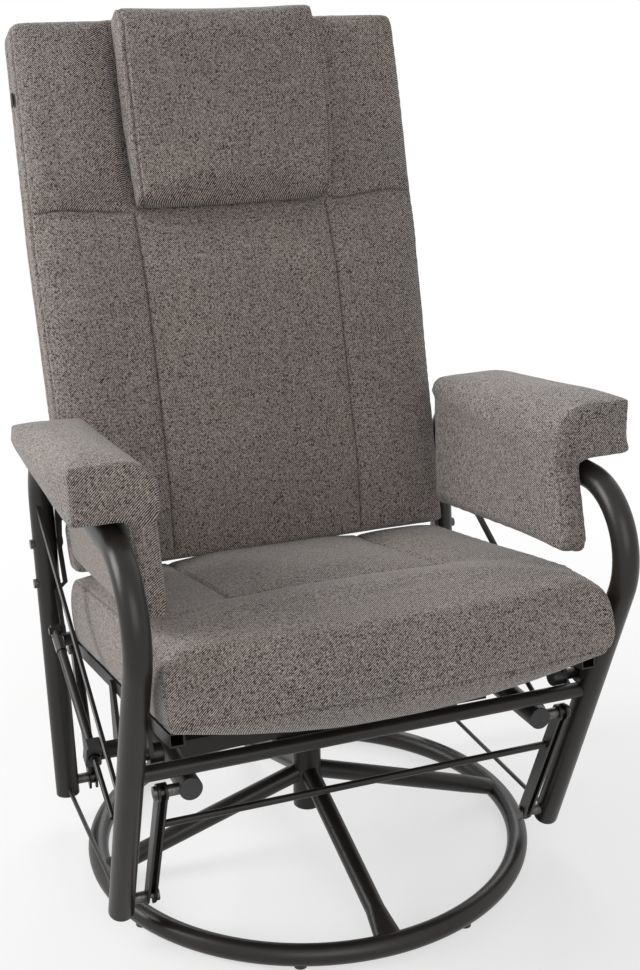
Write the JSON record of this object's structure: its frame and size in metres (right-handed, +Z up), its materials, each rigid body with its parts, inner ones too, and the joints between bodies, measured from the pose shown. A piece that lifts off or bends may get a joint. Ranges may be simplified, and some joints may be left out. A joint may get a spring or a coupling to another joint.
{
  "type": "swivel glider recliner",
  "caption": "Swivel glider armchair: round tube base, swinging links, bent-tube side frames, padded arms, cushioned seat and a reclining high back with headrest pillow.",
  "frame": {"origin": "on the floor, under the middle of the bounding box", "axes": "+Z up, the chair faces -Y, +X on the right of a front view"},
  "size_m": [0.69, 0.7359, 1.0902],
  "materials": {
    "powder_coat": "satin black powder coat",
    "grey_weave": "coarse heathered grey-brown weave",
    "black_plastic": "moulded, fine grain",
    "dark_steel": "blackened steel",
    "gloss_black": "gloss",
    "webbing": "woven webbing",
    "tag_cloth": "woven tape, bare",
    "board": "black stained plywood"
  },
  "bodies": {
    "base": {"base_ring": "powder_coat", "floor_feet": "black_plastic", "spider_arm_front": "powder_coat", "spider_arm_right": "powder_coat", "spider_arm_rear": "powder_coat", "spider_arm_left": "powder_coat", "hub_socket": "powder_coat", "thrust_washer": "black_plastic"},
    "carrier": {"swivel_post": "dark_steel", "carrier_plate": "powder_coat", "carrier_beam_front": "powder_coat", "carrier_beam_rear": "powder_coat", "carrier_tube_left": "powder_coat", "carrier_tube_right": "powder_coat", "carrier_caps": "black_plastic", "link_pins_top": "dark_steel"},
    "front_links": {"link_front_left": "powder_coat", "link_front_right": "powder_coat", "link_rod": "powder_coat"},
    "rear_link_left": {"link_rear_left": "powder_coat"},
    "rear_link_right": {"link_rear_right": "powder_coat"},
    "chair": {"side_frame_left": "powder_coat", "side_frame_right": "powder_coat", "stretcher_left": "powder_coat", "stretcher_right": "powder_coat", "side_brace_left": "powder_coat", "side_brace_right": "powder_coat", "leg_plugs": "black_plastic", "link_pins_foot": "dark_steel", "cross_tube_front": "powder_coat", "cross_tube_rear": "powder_coat", "leg_bolts": "dark_steel", "seat_cushion": "grey_weave", "seat_straps": "webbing", "seat_hangers": "powder_coat", "seat_lugs": "powder_coat", "knob_bolts": "dark_steel", "seat_rail_left": "powder_coat", "seat_rail_right": "powder_coat", "arm_board_left": "board", "arm_board_right": "board", "arm_pad_left": "grey_weave", "arm_pad_right": "grey_weave", "arm_bolts": "dark_steel", "stub_tubes": "powder_coat"},
    "back": {"back_cushion": "grey_weave", "back_pad": "grey_weave", "back_hoop": "powder_coat", "back_cross_tube": "powder_coat", "headrest_pillow": "grey_weave", "side_tag": "tag_cloth", "back_crank_left": "powder_coat", "back_crank_right": "powder_coat"},
    "struts": {"lock_cylinder": "powder_coat", "lock_collar": "gloss_black", "guide_rod": "powder_coat"},
    "blocks": {"guide_block_left": "black_plastic", "guide_block_right": "black_plastic"}
  },
  "joints": [
    {"name": "swivel", "type": "hinge", "parent": "base", "child": "carrier", "pos_m": [0, -0.0175, 0.15], "axis": [0, 0, 1], "continuous": true},
    {"name": "glide", "type": "hinge", "parent": "carrier", "child": "front_links", "pos_m": [0, -0.2405, 0.247], "axis": [1, 0, 0], "range_deg": [-7, 7]},
    {"name": "chair_hinge", "type": "hinge", "parent": "front_links", "child": "chair", "pos_m": [0, -0.15803, 0.06], "axis": [1, 0, 0], "range_deg": [-10.5, 10.5]},
    {"name": "rear_left", "type": "hinge", "parent": "carrier", "child": "rear_link_left", "pos_m": [-0.258, 0.2175, 0.232], "axis": [1, 0, 0], "range_deg": [-8, 8]},
    {"name": "rear_right", "type": "hinge", "parent": "carrier", "child": "rear_link_right", "pos_m": [0.258, 0.2175, 0.232], "axis": [1, 0, 0], "range_deg": [-8, 8]},
    {"name": "recline", "type": "hinge", "parent": "chair", "child": "back", "pos_m": [0, 0.19153, 0.405], "axis": [-1, 0, 0], "range_deg": [0, 20]},
    {"name": "strut_hinge", "type": "hinge", "parent": "back", "child": "struts", "pos_m": [0, 0.1345, 0.3], "axis": [1, 0, 0], "range_deg": [-1, 31]},
    {"name": "block_hinge", "type": "hinge", "parent": "chair", "child": "blocks", "pos_m": [0, -0.0625, 0.2164], "axis": [1, 0, 0], "range_deg": [-1, 11]}
  ],
  "couplings": [
    {"joint": "chair_hinge", "follows": "glide", "ratio": -1.4671},
    {"joint": "rear_left", "follows": "glide", "ratio": 1.088},
    {"joint": "rear_right", "follows": "glide", "ratio": 1.088},
    {"joint": "strut_hinge", "follows": "recline", "ratio": 1.5165},
    {"joint": "block_hinge", "follows": "recline", "ratio": 0.5165}
  ]
}
